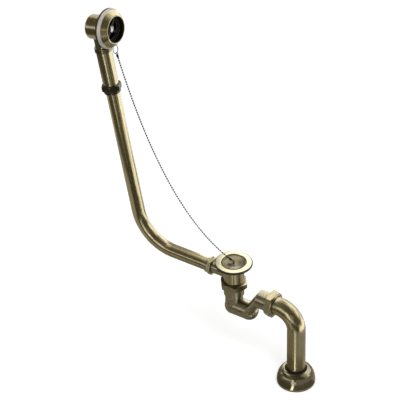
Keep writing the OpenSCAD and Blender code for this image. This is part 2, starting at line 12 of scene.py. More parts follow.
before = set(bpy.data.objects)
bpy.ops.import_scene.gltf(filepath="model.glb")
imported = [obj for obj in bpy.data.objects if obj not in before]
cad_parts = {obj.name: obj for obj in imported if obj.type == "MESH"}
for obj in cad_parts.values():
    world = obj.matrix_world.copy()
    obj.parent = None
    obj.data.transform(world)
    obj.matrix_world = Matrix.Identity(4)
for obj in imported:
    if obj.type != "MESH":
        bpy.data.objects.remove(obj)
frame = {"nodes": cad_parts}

LOG = logging.getLogger("bath_waste")
Colour = tuple[float, float, float]
Point = tuple[float, float, float]
Feed = Union["Term", bpy.types.NodeSocket, float, tuple]

UP: Point = (0.0, 0.0, 1.0)
ALONG_X: Point = (1.0, 0.0, 0.0)
LEAN = math.radians(10.5)
UP_THE_PIPE: Point = (-math.sin(LEAN), 0.0, math.cos(LEAN))
OUT_OF_THE_HEAD: Point = (math.cos(LEAN), 0.0, math.sin(LEAN))
WASTE_CENTRE: Point = (0.0, 0.0, 0.0)
HEAD_CENTRE: Point = (-0.2808, 0.0, 0.4135)
OUTLET_CENTRE: Point = (0.0, 0.0, -0.063)
FLOOR_LEVEL = -0.2225
FAR_CARD, STRIP_CARD, MID_CARD, PIPE_CARD, BODY_CARD, NEAR_CARD, FOOT_CARD = (
    FLOOR_LEVEL + 0.0006 * step for step in range(1, 8)
)
HEAD_SPOT, PIPE_SPOT, DROP_SPOT, RUN_SPOT = (-0.265, 0.0), (-0.24, 0.0), (0.1354, 0.0), (0.06, 0.0)
DROP_X = 0.1354
ROSE_CENTRE: Point = (DROP_X, 0.0, FLOOR_LEVEL)


class Term:
    """A socket that takes part in Python arithmetic; each operator adds one Math node."""

    def __init__(self, graph: "Graph", socket: bpy.types.NodeSocket) -> None:
        """Keeps the socket and the graph that it belongs to."""
        self.graph = graph
        self.socket = socket

    def _math(self, operation: str, first: Feed, second: Feed) -> "Term":
        """Adds a Math node.

        Args:
            operation: the node's operation.
            first: its first value.
            second: its second value.

        Returns:
            The node's result.
        """
        made = self.graph.node("ShaderNodeMath", {"operation": operation}, {0: first, 1: second})
        return Term(self.graph, made.outputs[0])

    def __add__(self, other: Feed) -> "Term":
        """self + other."""
        return self._math("ADD", self, other)

    def __radd__(self, other: Feed) -> "Term":
        """other + self."""
        return self._math("ADD", other, self)

    def __sub__(self, other: Feed) -> "Term":
        """self - other."""
        return self._math("SUBTRACT", self, other)

    def __rsub__(self, other: Feed) -> "Term":
        """other - self."""
        return self._math("SUBTRACT", other, self)

    def __mul__(self, other: Feed) -> "Term":
        """self * other."""
        return self._math("MULTIPLY", self, other)

    def __rmul__(self, other: Feed) -> "Term":
        """other * self."""
        return self._math("MULTIPLY", other, self)

    def __truediv__(self, other: Feed) -> "Term":
        """self / other."""
        return self._math("DIVIDE", self, other)

    def __rtruediv__(self, other: Feed) -> "Term":
        """other / self."""
        return self._math("DIVIDE", other, self)

    def __pow__(self, other: Feed) -> "Term":
        """self ** other."""
        return self._math("POWER", self, other)

    def __rpow__(self, other: Feed) -> "Term":
        """other ** self."""
        return self._math("POWER", other, self)


class Graph:
    """The node tree of one material or of the world."""

    def __init__(self, tree: bpy.types.NodeTree) -> None:
        """Starts from an empty tree."""
        self.tree = tree
        self.tree.nodes.clear()

    def node(
        self,
        kind: str,
        settings: Optional[dict[str, object]] = None,
        inputs: Optional[dict[Union[str, int], Feed]] = None,
    ) -> bpy.types.Node:
        """Adds a node.

        Args:
            kind: the node's type.
            settings: its own settings; "stops" is a ramp's list of (place, colour).
            inputs: values or links for its sockets, by name or number.

        Returns:
            The new node.
        """
        made = self.tree.nodes.new(kind)
        for key, value in (settings or {}).items():
            if key == "stops":
                self._stops(made.color_ramp, value)
            else:
                setattr(made, key, value)
        for key, value in (inputs or {}).items():
            self._feed(made.inputs[key], value)
        return made

    @staticmethod
    def _stops(ramp: bpy.types.ColorRamp, stops: list[tuple[float, Colour]]) -> None:
        """Sets a ramp's stops.

        Args:
            ramp: the ramp.
            stops: each stop's place and colour.
        """
        while len(ramp.elements) < len(stops):
            ramp.elements.new(1.0)
        for element, (place, colour) in zip(ramp.elements, stops):
            element.position = place
            element.color = (*colour, 1.0)

    def _feed(self, socket: bpy.types.NodeSocket, value: Feed) -> None:
        """Links a term or a socket to a socket, or sets its value.

        Args:
            socket: the socket that is fed.
            value: a term, a socket, a number or a tuple.
        """
        if isinstance(value, Term):
            self.tree.links.new(value.socket, socket)
        elif isinstance(value, bpy.types.NodeSocket):
            self.tree.links.new(value, socket)
        elif isinstance(value, tuple) and socket.type == "RGBA":
            socket.default_value = (*value[:3], 1.0)
        else:
            socket.default_value = value

    def place(self) -> bpy.types.NodeSocket:
        """The surface point in the row frame, in metres."""
        return self.node("ShaderNodeTexCoord").outputs["Object"]

    def vector(self, operation: str, first: Feed, second: Feed = (0.0, 0.0, 0.0)) -> bpy.types.NodeSocket:
        """Vector Math on two vectors.

        Args:
            operation: the node's operation.
            first: its first vector.
            second: its second vector.

        Returns:
            The resulting vector.
        """
        return self.node("ShaderNodeVectorMath", {"operation": operation}, {0: first, 1: second}).outputs["Vector"]

    def dot(self, first: Feed, second: Feed) -> Term:
        """The dot product of two vectors."""
        made = self.node("ShaderNodeVectorMath", {"operation": "DOT_PRODUCT"}, {0: first, 1: second})
        return Term(self, made.outputs["Value"])

    def seen_directly(self) -> Term:
        """1 for rays from the camera, a mirror or a glass, and 0 for the light that falls on the object."""
        path = self.node("ShaderNodeLightPath")
        seen = Term(self, path.outputs["Is Camera Ray"]) + path.outputs["Is Glossy Ray"]
        return self.span(seen + path.outputs["Is Transmission Ray"], 0.0, 1.0)

    def length(self, vector: Feed) -> Term:
        """The length of a vector."""
        made = self.node("ShaderNodeVectorMath", {"operation": "LENGTH"}, {0: vector})
        return Term(self, made.outputs["Value"])

    def scaled(self, vector: Feed, by: Feed) -> bpy.types.NodeSocket:
        """A vector times a number."""
        made = self.node("ShaderNodeVectorMath", {"operation": "SCALE"}, {"Vector": vector, "Scale": by})
        return made.outputs["Vector"]

    def noise(self, vector: Feed, scale: float, detail: float = 2.0) -> Term:
        """Noise from 0 to 1.

        Args:
            vector: where it is read.
            scale: its scale.
            detail: its octaves.

        Returns:
            The noise value.
        """
        made = self.node("ShaderNodeTexNoise", None, {"Vector": vector, "Scale": scale, "Detail": detail})
        return Term(self, made.outputs["Fac"])

    def larger(self, first: Feed, second: Feed) -> Term:
        """The larger of two numbers."""
        return Term(self, self.node("ShaderNodeMath", {"operation": "MAXIMUM"}, {0: first, 1: second}).outputs[0])

    def span(self, value: Feed, low: float, high: float, to_low: float = 0.0, to_high: float = 1.0) -> Term:
        """Maps a range of values to another and clamps it.

        Args:
            value: the value.
            low: the start of its range.
            high: the end of its range.
            to_low: what the start becomes.
            to_high: what the end becomes.

        Returns:
            The mapped value.
        """
        made = self.node(
            "ShaderNodeMapRange", None,
            {"Value": value, "From Min": low, "From Max": high, "To Min": to_low, "To Max": to_high},
        )
        return Term(self, made.outputs["Result"])

    def blend(self, share: Feed, first: Feed, second: Feed) -> bpy.types.NodeSocket:
        """A mix of two colours.

        Args:
            share: how much of the second, from 0 to 1.
            first: the first colour.
            second: the second colour.

        Returns:
            The mixed colour.
        """
        made = self.node("ShaderNodeMix", {"data_type": "RGBA"}, {0: share, 6: first, 7: second})
        return made.outputs[2]

    def bump(self, height: Feed, strength: float, depth: float) -> bpy.types.NodeSocket:
        """A bumped normal.

        Args:
            height: the height field.
            strength: the bump's strength.
            depth: its depth in metres.

        Returns:
            The normal.
        """
        made = self.node("ShaderNodeBump", None, {"Height": height, "Strength": strength, "Distance": depth})
        return made.outputs["Normal"]

    def surface(self, **sockets: Feed) -> None:
        """Ends the tree in a Principled shader; the sockets' names have _ for a space."""
        named = {key.replace("_", " "): value for key, value in sockets.items()}
        shader = self.node("ShaderNodeBsdfPrincipled", None, named)
        self.node("ShaderNodeOutputMaterial", None, {"Surface": shader.outputs[0]})


def new_material(name: str) -> tuple[bpy.types.Material, Graph]:
    """Makes a material with an empty tree.

    Args:
        name: the material's name.

    Returns:
        The material and its graph.
    """
    material = bpy.data.materials.new(name)
    material.use_nodes = True
    return material, Graph(material.node_tree)


class Grain(Enum):
    """How the metal was worked."""

    ALONG = "polished along the axis"
    TURNED = "turned round the axis"
    CAST = "cast and polished"


@dataclass(frozen=True)
class Brass:
    """Antique brass: darkened in its corners, partly the metal's own tarnish and partly painted shade, and pale along
    its edges, partly worn metal and partly a painted highlight; some pieces also get a painted shade in the throat or
    a painted shadow ring.
    """

    pale: Colour = (0.5, 0.44, 0.28)
    deep: Colour = (0.3, 0.257, 0.15)
    # dark colour: the metal's own tarnish and specks, and also the painted shade in corners, throats and the plug's
    # gap
    patina_and_shade: Colour = (0.022, 0.019, 0.012)
    # pale edge colour: partly worn metal, partly a painted highlight along the edges
    worn_edge_and_highlight_colour: Colour = (0.76, 0.71, 0.56)
    roughness: float = 0.17
    # how far the corner darkening goes: partly tarnish, partly painted shade
    crevice: float = 0.9
    edge_wear_and_highlight: float = 0.75
    edge_width: float = 0.0011
    spotted: float = 0.2
    grain_strength: float = 0.06
    crevice_reach: float = 0.005
    band: Optional[tuple[float, float]] = None
    band_colour: Colour = (0.44, 0.41, 0.365)
    band_haze: float = 0.7
    # inside this radius the throat is darkened: painted shade
    shaded_throat_radius: Optional[float] = None
    # a ring between these radii is darkened: painted shadow in the gap round the plug
    ring: Optional[tuple[float, float]] = None

    def grain_place(self, graph: Graph, grain: Grain, along: Term, across: Feed, axis: Point) -> bpy.types.NodeSocket:
        """Stretches the surface point so that noise read there makes the tool's marks.

        Args:
            graph: the material's graph.
            grain: how the metal was worked.
            along: the distance along the axis.
            across: the vector from the axis.
            axis: the direction of the pipe or of the lathe.

        Returns:
            The stretched place, in units of one mark's width.
        """
        mark_width, mark_length, cast_grain = 0.0014, 0.09, 0.004
        if grain is Grain.CAST:
            return graph.scaled(graph.place(), 1.0 / cast_grain)
        if grain is Grain.TURNED:
            made = graph.node(
                "ShaderNodeCombineXYZ", None,
                {"X": graph.length(across) * (1.0 / mark_width), "Y": along * (1.0 / mark_width), "Z": 0.0},
            )
            return made.outputs["Vector"]
        wide = graph.scaled(across, 1.0 / mark_width)
        return graph.vector("ADD", wide, graph.scaled(axis, along * (1.0 / mark_length)))

    def worn_and_highlight_edges(self, graph: Graph) -> Term:
        """How much the surface bends within a millimetre, from 0 to 1."""
        rounded = graph.node("ShaderNodeBevel", {"samples": 6}, {"Radius": self.edge_width})
        flat = graph.node("ShaderNodeNewGeometry").outputs["True Normal"]
        return graph.span(1.0 - graph.dot(rounded.outputs["Normal"], flat), 0.015, 0.11)

    def add_painted_shade(self, graph: Graph, hidden: Term, across: Feed) -> Term:
        """Adds the painted shade of the dark throat and the painted shadow of the dark ring, where the piece has
        them.

        Args:
            graph: the material's graph.
            hidden: how far the surface lies in a corner, from 0 to 1.
            across: the vector from the axis.

        Returns:
            How dark the surface is kept, from 0 to 1.
        """
        radius = graph.length(across)
        # the throat: painted shade
        if self.shaded_throat_radius is not None:
            inside = graph.span(radius, self.shaded_throat_radius - 0.0004, self.shaded_throat_radius, 1.0, 0.0)
            hidden = graph.larger(hidden, inside)
        # the ring: painted shadow
        if self.ring is not None:
            inner, outer = self.ring
            ring = graph.span(radius, inner - 0.0004, inner) * graph.span(radius, outer, outer + 0.0004, 1.0, 0.0)
            hidden = graph.larger(hidden, ring * 0.9)
        return hidden

    def make(self, name: str, grain: Grain, axis: Point, centre: Point) -> bpy.types.Material:
        """Builds the brass for one piece.

        Args:
            name: the material's name.
            grain: how the metal was worked.
            axis: the direction of the pipe or of the lathe.
            centre: a point on that axis.

        Returns:
            The material.
        """
        material, graph = new_material(name)
        offset = graph.vector("SUBTRACT", graph.place(), centre)
        along = graph.dot(offset, axis)
        across = graph.vector("SUBTRACT", offset, graph.scaled(axis, along))
        marks_at = self.grain_place(graph, grain, along, across, axis)
        broad = graph.noise(marks_at, 0.6)
        fine = graph.noise(marks_at, 3.0, 3.0)
        cloud = graph.noise(graph.place(), 60.0, 4.0)
        speck = graph.noise(graph.place(), 700.0, 2.0)
        worked = graph.span(broad * 0.35 + fine * 0.5 + cloud * 0.15, 0.36, 0.64)
        metal = graph.blend(worked, self.deep, self.pale)
        # pale edges: partly worn metal, partly a painted highlight
        edge = self.worn_and_highlight_edges(graph) * graph.span(cloud, 0.3, 0.6, 0.4, 1.0)
        metal = graph.blend(edge * self.edge_wear_and_highlight, metal, self.worn_edge_and_highlight_colour)
        # darker where ambient occlusion finds a corner or a gap between parts: partly tarnish, partly painted shade
        shade = graph.node("ShaderNodeAmbientOcclusion", {"samples": 8}, {"Distance": self.crevice_reach})
        hidden = self.add_painted_shade(graph, graph.span(shade.outputs["AO"], 0.25, 0.85, 1.0, 0.0), across)
        metallic: Feed = 1.0
        roughness = self.roughness + graph.span(fine, 0.3, 0.7) * 0.07 + hidden * 0.25
        if self.band is not None:
            low, high = self.band
            in_band = graph.span(along, low - 0.0003, low) * graph.span(along, high, high + 0.0003, 1.0, 0.0)
            metal = graph.blend(in_band * 0.9, metal, self.band_colour)
            metallic = 1.0 - in_band * self.band_haze
            roughness = roughness + in_band * 0.2
        spots = graph.span(speck, 0.62, 0.72) * graph.span(cloud, 0.45, 0.6)
        # the dark mix: painted shade in corners, throats and the gap ring, plus random tarnish specks
        patina_stain_and_shade = hidden * self.crevice + spots * self.spotted * (1.0 - hidden)
        graph.surface(
            Base_Color=graph.blend(patina_stain_and_shade, metal, self.patina_and_shade),
            Metallic=metallic,
            Roughness=roughness,
            Normal=graph.bump(fine * 0.7 + speck * 0.3, self.grain_strength, 0.0001),
        )
        return material


@dataclass(frozen=True)
class Rubber:
    """Black moulded rubber."""

    colour: Colour = (0.018, 0.018, 0.017)
    dusty: Colour = (0.045, 0.043, 0.04)

    def make(self, name: str) -> bpy.types.Material:
        """Builds the rubber.

        Args:
            name: the material's name.

        Returns:
            The material.
        """
        material, graph = new_material(name)
        cloud = graph.noise(graph.place(), 90.0, 3.0)
        skin = graph.noise(graph.place(), 1400.0, 2.0)
        graph.surface(
            Base_Color=graph.blend(graph.span(cloud, 0.45, 0.75), self.colour, self.dusty),
            Specular_IOR_Level=0.3,
            Roughness=0.62 + graph.span(skin, 0.3, 0.7) * 0.14,
            Normal=graph.bump(skin, 0.3, 0.00008),
        )
        return material


@dataclass(frozen=True)
class Moulding:
    """Black moulded plastic with a fine spark texture."""

    colour: Colour = (0.012, 0.012, 0.013)
    scuffed: Colour = (0.03, 0.03, 0.03)

    def make(self, name: str) -> bpy.types.Material:
        """Builds the plastic.

        Args:
            name: the material's name.

        Returns:
            The material.
        """
        material, graph = new_material(name)
        scuff = graph.span(graph.noise(graph.place(), 160.0, 4.0), 0.58, 0.72)
        spark = graph.noise(graph.place(), 2600.0, 1.0)
        graph.surface(
            Base_Color=graph.blend(scuff * 0.6, self.colour, self.scuffed),
            Specular_IOR_Level=0.25,
            Roughness=0.5 + scuff * 0.2,
            Normal=graph.bump(spark, 0.25, 0.00005),
        )
        return material


@dataclass(frozen=True)
class Steel:
    """Turned or drawn steel, bright on the screw and darkened on the chain."""

    bright: Colour
    dull: Colour
    roughness: float

    def make(self, name: str) -> bpy.types.Material:
        """Builds the steel.

        Args:
            name: the material's name.

        Returns:
            The material.
        """
        material, graph = new_material(name)
        cloud = graph.noise(graph.place(), 260.0, 3.0)
        scratch = graph.noise(graph.place(), 1900.0, 2.0)
        graph.surface(
            Base_Color=graph.blend(graph.span(cloud, 0.4, 0.66), self.bright, self.dull),
            Metallic=1.0,
            Roughness=self.roughness + graph.span(scratch, 0.35, 0.7) * 0.12,
            Normal=graph.bump(scratch, 0.15, 0.00005),
        )
        return material


BRASS = Brass()
# the cup's throat is darkened: painted shade
CUP_BRASS = Brass(shaded_throat_radius=0.0212)
# the face's throat is darkened: painted shade
FACE_BRASS = Brass(
    pale=(0.52, 0.455, 0.29), deep=(0.33, 0.28, 0.165), worn_edge_and_highlight_colour=(0.78, 0.74, 0.62), roughness=0.2,
    edge_wear_and_highlight=0.6, edge_width=0.0005, shaded_throat_radius=0.0248, band=(0.0234, 0.0295),
)
# a paler copy of the brass for the upward-facing flange: painted light
FLANGE_BRASS_PAINTED_LIGHT = Brass(pale=(0.72, 0.66, 0.48), deep=(0.56, 0.5, 0.33), worn_edge_and_highlight_colour=(0.8, 0.75, 0.6), roughness=0.24)
# a darker copy of the brass, a dark ring at the plug's rim and a longer corner reach: painted shade on the plug and
# painted shadow in its gap
DISH_BRASS_PAINTED_SHADE = Brass(pale=(0.23, 0.195, 0.125), deep=(0.12, 0.1, 0.062), roughness=0.2, crevice_reach=0.012, ring=(0.0206, 0.0222))
HEAD_NUT_BRASS = Brass(pale=(0.25, 0.22, 0.14), deep=(0.1, 0.088, 0.056), roughness=0.2)
OUTLET_BRASS = Brass(roughness=0.2, spotted=0.1, grain_strength=0.035)
ROSE_BRASS = Brass(pale=(0.31, 0.275, 0.185), deep=(0.19, 0.165, 0.105), roughness=0.14)
# longer reach of the corner darkening on the trap: more painted shade in its creases
CAST_BRASS = Brass(
    pale=(0.45, 0.41, 0.29), deep=(0.26, 0.232, 0.155), roughness=0.21, spotted=0.3, grain_strength=0.1, crevice_reach=0.012,
)
DARK_BRASS = Brass(pale=(0.13, 0.12, 0.095), deep=(0.045, 0.042, 0.034), worn_edge_and_highlight_colour=(0.4, 0.37, 0.29), roughness=0.22)
SCREW_STEEL = Steel((0.5, 0.5, 0.49), (0.28, 0.28, 0.27), 0.22)
CHAIN_STEEL = Steel((0.03, 0.029, 0.027), (0.012, 0.0115, 0.011), 0.3)
PIN_STEEL = Steel((0.06, 0.058, 0.054), (0.03, 0.029, 0.027), 0.3)


class Dresser:
    """Puts materials on the CAD nodes."""

    def __init__(self, nodes: dict[str, bpy.types.Object]) -> None:
        """Keeps the frame's nodes by name."""
        self.nodes = nodes
        self.done: set[str] = set()

    def dress(self, name: str, material: bpy.types.Material) -> None:
        """Gives a node its material.

        Args:
            name: the CAD node.
            material: its material.
        """
        mesh = self.nodes[name].data
        if not mesh.materials:
            mesh.materials.append(material)
        for index in range(len(mesh.materials)):
            mesh.materials[index] = material
        self.done.add(name)
        LOG.info("%s: %s", name, material.name)

    def dress_all(self, names: Iterable[str], material: bpy.types.Material) -> None:
        """Gives several nodes one material.

        Args:
            names: the CAD nodes.
            material: their material.
        """
        for name in names:
            self.dress(name, material)

    def missing(self) -> list[str]:
        """The nodes that have no finish yet."""
        return sorted(set(self.nodes) - self.done)


@dataclass
class WasteFitting:
    """The flange, the plug and the body under the bath."""

    axis: Point = UP
    centre: Point = WASTE_CENTRE
    turned: tuple[str, ...] = ("waste_flange",)
    seals: tuple[str, ...] = ("flange_washer", "plug_ring")

    def build(self, dresser: Dresser) -> None:
        """Dresses the fitting.

        Args:
            dresser: the CAD nodes' dresser.
        """
        dresser.dress_all(self.turned, FLANGE_BRASS_PAINTED_LIGHT.make("flange_brass_painted_light", Grain.TURNED, self.axis, self.centre))
        dresser.dress("plug", DISH_BRASS_PAINTED_SHADE.make("plug_brass_painted_shade", Grain.TURNED, self.axis, self.centre))
        dresser.dress("waste_body", BRASS.make("body_brass", Grain.ALONG, self.axis, self.centre))
        dresser.dress("inlet_nut", BRASS.make("inlet_nut_brass", Grain.TURNED, ALONG_X, (0.0, 0.0, -0.0285)))
        dresser.dress("inlet_olive", BRASS.make("olive_brass", Grain.TURNED, ALONG_X, (0.0, 0.0, -0.0285)))
        dresser.dress_all(self.seals, Rubber().make("flange_rubber"))


@dataclass
class OverflowRun:
    """The pipe from the body up to the head, with its two nuts."""

    axis: Point = UP_THE_PIPE
    centre: Point = HEAD_CENTRE
    seals: tuple[str, ...] = ("middle_olive", "head_washer")

    def build(self, dresser: Dresser) -> None:
        """Dresses the run.

        Args:
            dresser: the CAD nodes' dresser.
        """
        pipe = BRASS.make("pipe_brass", Grain.ALONG, self.axis, self.centre)
        dresser.dress_all(("overflow_pipe", "upper_tube"), pipe)
        dresser.dress("head_nut", HEAD_NUT_BRASS.make("head_nut_brass", Grain.TURNED, self.axis, self.centre))
        dresser.dress("middle_nut", DARK_BRASS.make("middle_nut_brass", Grain.TURNED, self.axis, self.centre))
        dresser.dress_all(self.seals, Rubber().make("pipe_rubber"))


@dataclass
class OverflowHead:
    """The cup behind the bath wall and the open face in front of it."""

    axis: Point = OUT_OF_THE_HEAD
    centre: Point = HEAD_CENTRE

    def build(self, dresser: Dresser) -> None:
        """Dresses the head.

        Args:
            dresser: the CAD nodes' dresser.
        """
        dresser.dress("overflow_face", FACE_BRASS.make("face_brass", Grain.TURNED, self.axis, self.centre))
        dresser.dress("overflow_cup", CUP_BRASS.make("cup_brass", Grain.TURNED, self.axis, self.centre))
        dresser.dress("overflow_gasket", Rubber().make("gasket_rubber"))
        dresser.dress("overflow_insert", Moulding().make("insert_plastic"))
        dresser.dress("overflow_screw", SCREW_STEEL.make("screw_steel"))


@dataclass
class PlugChain:
    """The ball chain with its ring, clasps and eye."""

    nodes: tuple[str, ...] = ("plug_eye", "chain_ring", "upper_clasp", "chain_beads", "lower_clasp")

    def build(self, dresser: Dresser) -> None:
        """Dresses the chain.

        Args:
            dresser: the CAD nodes' dresser.
        """
        dresser.dress_all(self.nodes, CHAIN_STEEL.make("chain_steel"))
        dresser.dress("chain_pins", PIN_STEEL.make("pin_steel"))


@dataclass
class Trap:
    """The cast trap and the nuts at its two ends."""

    axis: Point = ALONG_X
    centre: Point = OUTLET_CENTRE

    def build(self, dresser: Dresser) -> None:
        """Dresses the trap.

        Args:
            dresser: the CAD nodes' dresser.
        """
        dresser.dress("trap_body", CAST_BRASS.make("trap_brass", Grain.CAST, UP, WASTE_CENTRE))
        dresser.dress("trap_nut", CAST_BRASS.make("trap_nut_brass", Grain.TURNED, UP, WASTE_CENTRE))
        dresser.dress("outlet_nut", BRASS.make("outlet_nut_brass", Grain.TURNED, self.axis, self.centre))
        dresser.dress_all(("trap_olive", "outlet_olive"), Rubber().make("trap_rubber"))


@dataclass
class FloorOutlet:
    """The bent pipe to the floor and the flange that hides its hole."""

    axis: Point = UP
    centre: Point = ROSE_CENTRE

    def build(self, dresser: Dresser) -> None:
        """Dresses the outlet.

        Args:
            dresser: the CAD nodes' dresser.
        """
        dresser.dress("outlet_pipe", OUTLET_BRASS.make("outlet_brass", Grain.ALONG, self.axis, self.centre))
        dresser.dress("floor_flange", ROSE_BRASS.make("floor_brass", Grain.TURNED, self.axis, self.centre))
        dresser.dress("floor_flange_ring", Rubber().make("floor_rubber"))


@dataclass(frozen=True)
class Card:
    """A card of the studio, which only reflections see: a sector of a floor, a wall or a roof."""

    name: str
    glow: Colour
    from_azimuth: float
    to_azimuth: float
    inner: float
    outer: float
    low: float
    high: float
    middle: tuple[float, float] = (0.18, -0.02)


@dataclass
class Studio:
    """The pale floor, the soft lamps, the dark cards, the white surroundings and the camera."""

    azimuth: float = 34.2923
    elevation: float = 36.0685
    roll: float = -1.4185
    shift: tuple[float, float] = (0.0617413, -0.1134223)
    distance: float = 4.0367707
    lens: float = 198.0
    sensor: float = 36.0
    floor_half: float = 12.0
    surroundings: float = 0.62
    cards: tuple[Card, ...] = (
        Card("card_floor_left", (0.1, 0.095, 0.06), -270.0, -84.0, 0.0, 8.0, FAR_CARD, FAR_CARD),
        Card("card_floor_right", (0.12, 0.105, 0.05), -84.0, 90.0, 0.0, 8.0, FAR_CARD, FAR_CARD),
        Card("card_floor_strip", (2.6, 2.6, 2.6), -91.0, -77.0, 1.02, 2.4, STRIP_CARD, STRIP_CARD),
        Card("card_floor_tan", (0.8, 0.76, 0.66), -52.0, -30.0, 1.75, 3.8, STRIP_CARD, STRIP_CARD, (-0.28, 0.0)),
        Card("card_floor_bright", (2.3, 2.3, 2.3), 17.0, 140.0, 0.0, 8.0, MID_CARD, MID_CARD, HEAD_SPOT),
        Card("card_pipe_stripe", (2.3, 2.3, 2.25), -8.6, 18.0, 0.0, 1.36, PIPE_CARD, PIPE_CARD, PIPE_SPOT),
        Card("card_pipe_stripe_end", (2.3, 2.3, 2.25), 18.0, 43.0, 0.0, 1.25, PIPE_CARD, PIPE_CARD, PIPE_SPOT),
        Card("card_pipe_shade", (0.3, 0.28, 0.2), 43.0, 75.0, 0.0, 1.06, PIPE_CARD, PIPE_CARD, PIPE_SPOT),
        Card("card_pipe_edge", (0.3, 0.28, 0.2), 75.0, 145.0, 0.0, 0.84, PIPE_CARD, PIPE_CARD, PIPE_SPOT),
        Card("card_mid_left", (0.56, 0.54, 0.47), -260.0, -86.0, 0.0, 0.55, PIPE_CARD, PIPE_CARD, PIPE_SPOT),
        Card("card_mid_far", (0.85, 0.82, 0.72), -260.0, -145.0, 0.55, 0.74, PIPE_CARD, PIPE_CARD, PIPE_SPOT),
        Card("card_mid_right", (0.065, 0.058, 0.028), -86.0, -8.6, 0.0, 0.95, PIPE_CARD, PIPE_CARD, PIPE_SPOT),
        Card("card_body_left", (0.33, 0.3, 0.24), -270.0, -62.0, 0.0, 0.36, BODY_CARD, BODY_CARD, (0.0, 0.0)),
        Card("card_body_right", (0.3, 0.28, 0.22), -62.0, 90.0, 0.0, 0.36, BODY_CARD, BODY_CARD, (0.0, 0.0)),
        Card("card_body_strip", (1.3, 1.3, 1.3), -79.0, -69.0, 0.24, 0.36, NEAR_CARD, NEAR_CARD, (0.0, 0.0)),
        Card("card_near_left", (0.3, 0.28, 0.22), -270.0, -80.0, 0.0, 0.17, NEAR_CARD, NEAR_CARD, DROP_SPOT),
        Card("card_near_strip", (1.5, 1.5, 1.5), -80.0, -66.0, 0.0, 0.23, NEAR_CARD, NEAR_CARD, DROP_SPOT),
        Card("card_near_right", (0.42, 0.41, 0.38), -66.0, 60.0, 0.0, 0.26, NEAR_CARD, NEAR_CARD, DROP_SPOT),
        Card("card_near_pale", (0.6, 0.6, 0.57), 60.0, 90.0, 0.0, 0.26, NEAR_CARD, NEAR_CARD, DROP_SPOT),
        Card("card_foot_left", (0.16, 0.15, 0.105), -270.0, -76.0, 0.0, 0.09, FOOT_CARD, FOOT_CARD, DROP_SPOT),
        Card("card_foot_strip", (4.2, 4.2, 4.1), -76.0, -68.0, 0.0, 0.09, FOOT_CARD, FOOT_CARD, DROP_SPOT),
        Card("card_foot_right", (0.22, 0.2, 0.15), -68.0, 20.0, 0.0, 0.09, FOOT_CARD, FOOT_CARD, DROP_SPOT),
        Card("card_foot_pale", (0.55, 0.52, 0.42), 20.0, 90.0, 0.0, 0.09, FOOT_CARD, FOOT_CARD, DROP_SPOT),
        Card("card_foot_skirt", (0.42, 0.41, 0.38), -50.0, 100.0, 0.12, 0.12, FLOOR_LEVEL, -0.16, DROP_SPOT),
        Card("card_wall_low", (0.12, 0.11, 0.08), -195.0, 28.0, 8.0, 8.0, -0.3, 1.0),
        Card("card_wall_strip", (1.2, 1.2, 1.15), -165.0, -88.0, 7.9, 7.9, 0.7, 2.4),
        Card("card_wall_side", (0.12, 0.11, 0.08), -88.0, 28.0, 8.0, 8.0, 1.0, 2.5),
        Card("card_wall_slit", (2.6, 2.6, 2.6), -85.0, -73.0, 7.8, 7.8, -0.3, 3.4),
        Card("card_wall_glint", (4.6, 4.6, 4.5), -109.0, -90.0, 7.8, 7.8, 3.2, 7.0),
        Card("card_wall_foot", (1.6, 1.6, 1.55), -72.0, -56.0, 7.8, 7.8, -0.3, 1.0),
        Card("card_wall_tan", (0.9, 0.82, 0.6), -58.0, -38.0, 7.8, 7.8, 2.8, 4.6),
        Card("card_wall_high", (0.13, 0.118, 0.078), -200.0, 8.0, 8.0, 7.0, 2.5, 9.5),
        Card("card_wall_sand", (0.6, 0.55, 0.43), 8.0, 50.0, 8.0, 7.0, 2.5, 9.5),
        Card("card_roof", (0.32, 0.3, 0.22), -210.0, -110.0, 7.0, 2.8, 9.5, 9.9),
        Card("card_roof_dark", (0.14, 0.13, 0.09), -110.0, 8.0, 7.0, 2.8, 9.5, 9.9),
        Card("card_roof_side", (0.25, 0.23, 0.17), 8.0, 50.0, 5.4, 2.8, 9.7, 9.9),
        Card("card_roof_cap", (0.2, 0.19, 0.14), -270.0, 90.0, 2.8, 0.0, 9.9, 9.9),
        Card("card_wall_back", (0.5, 0.47, 0.4), 98.0, 165.0, 2.2, 1.3, -0.2, 2.4),
        Card("card_wall_right", (2.3, 2.3, 2.3), 28.0, 96.0, 2.2, 1.95, 0.55, 1.4),
        Card("card_wall_upper", (2.3, 2.3, 2.3), 50.0, 96.0, 1.95, 1.6, 1.4, 2.3),
        Card("card_near_back", (2.1, 2.1, 2.05), 112.0, 134.0, 0.42, 0.42, -0.16, 0.42, RUN_SPOT),
        Card("card_back_side", (2.1, 2.1, 2.05), 75.0, 112.0, 0.42, 0.42, 0.06, 0.42, RUN_SPOT),
        Card("card_back_dark", (0.4, 0.38, 0.3), 75.0, 118.0, 0.42, 0.42, 0.42, 0.9, RUN_SPOT),
        Card("card_back_upper", (2.1, 2.1, 2.05), 118.0, 134.0, 0.42, 0.42, 0.42, 0.9, RUN_SPOT),
        Card("card_back_run", (2.1, 2.1, 2.05), 134.0, 152.0, 0.42, 0.42, 0.38, 0.9, RUN_SPOT),
        Card("card_back_far", (1.1, 1.08, 1.0), 152.0, 175.0, 0.42, 0.42, 0.38, 0.58, RUN_SPOT),
        Card("card_back_high", (2.1, 2.1, 2.05), 152.0, 205.0, 0.42, 0.42, 0.58, 0.98, RUN_SPOT),
        Card("card_back_pipe", (0.5, 0.47, 0.4), 134.0, 160.0, 0.42, 0.42, -0.1, 0.38, RUN_SPOT),
        Card("card_back_crescent", (3.0, 3.0, 2.9), 122.0, 135.0, 0.41, 0.41, -0.02, 0.17, RUN_SPOT),
    )
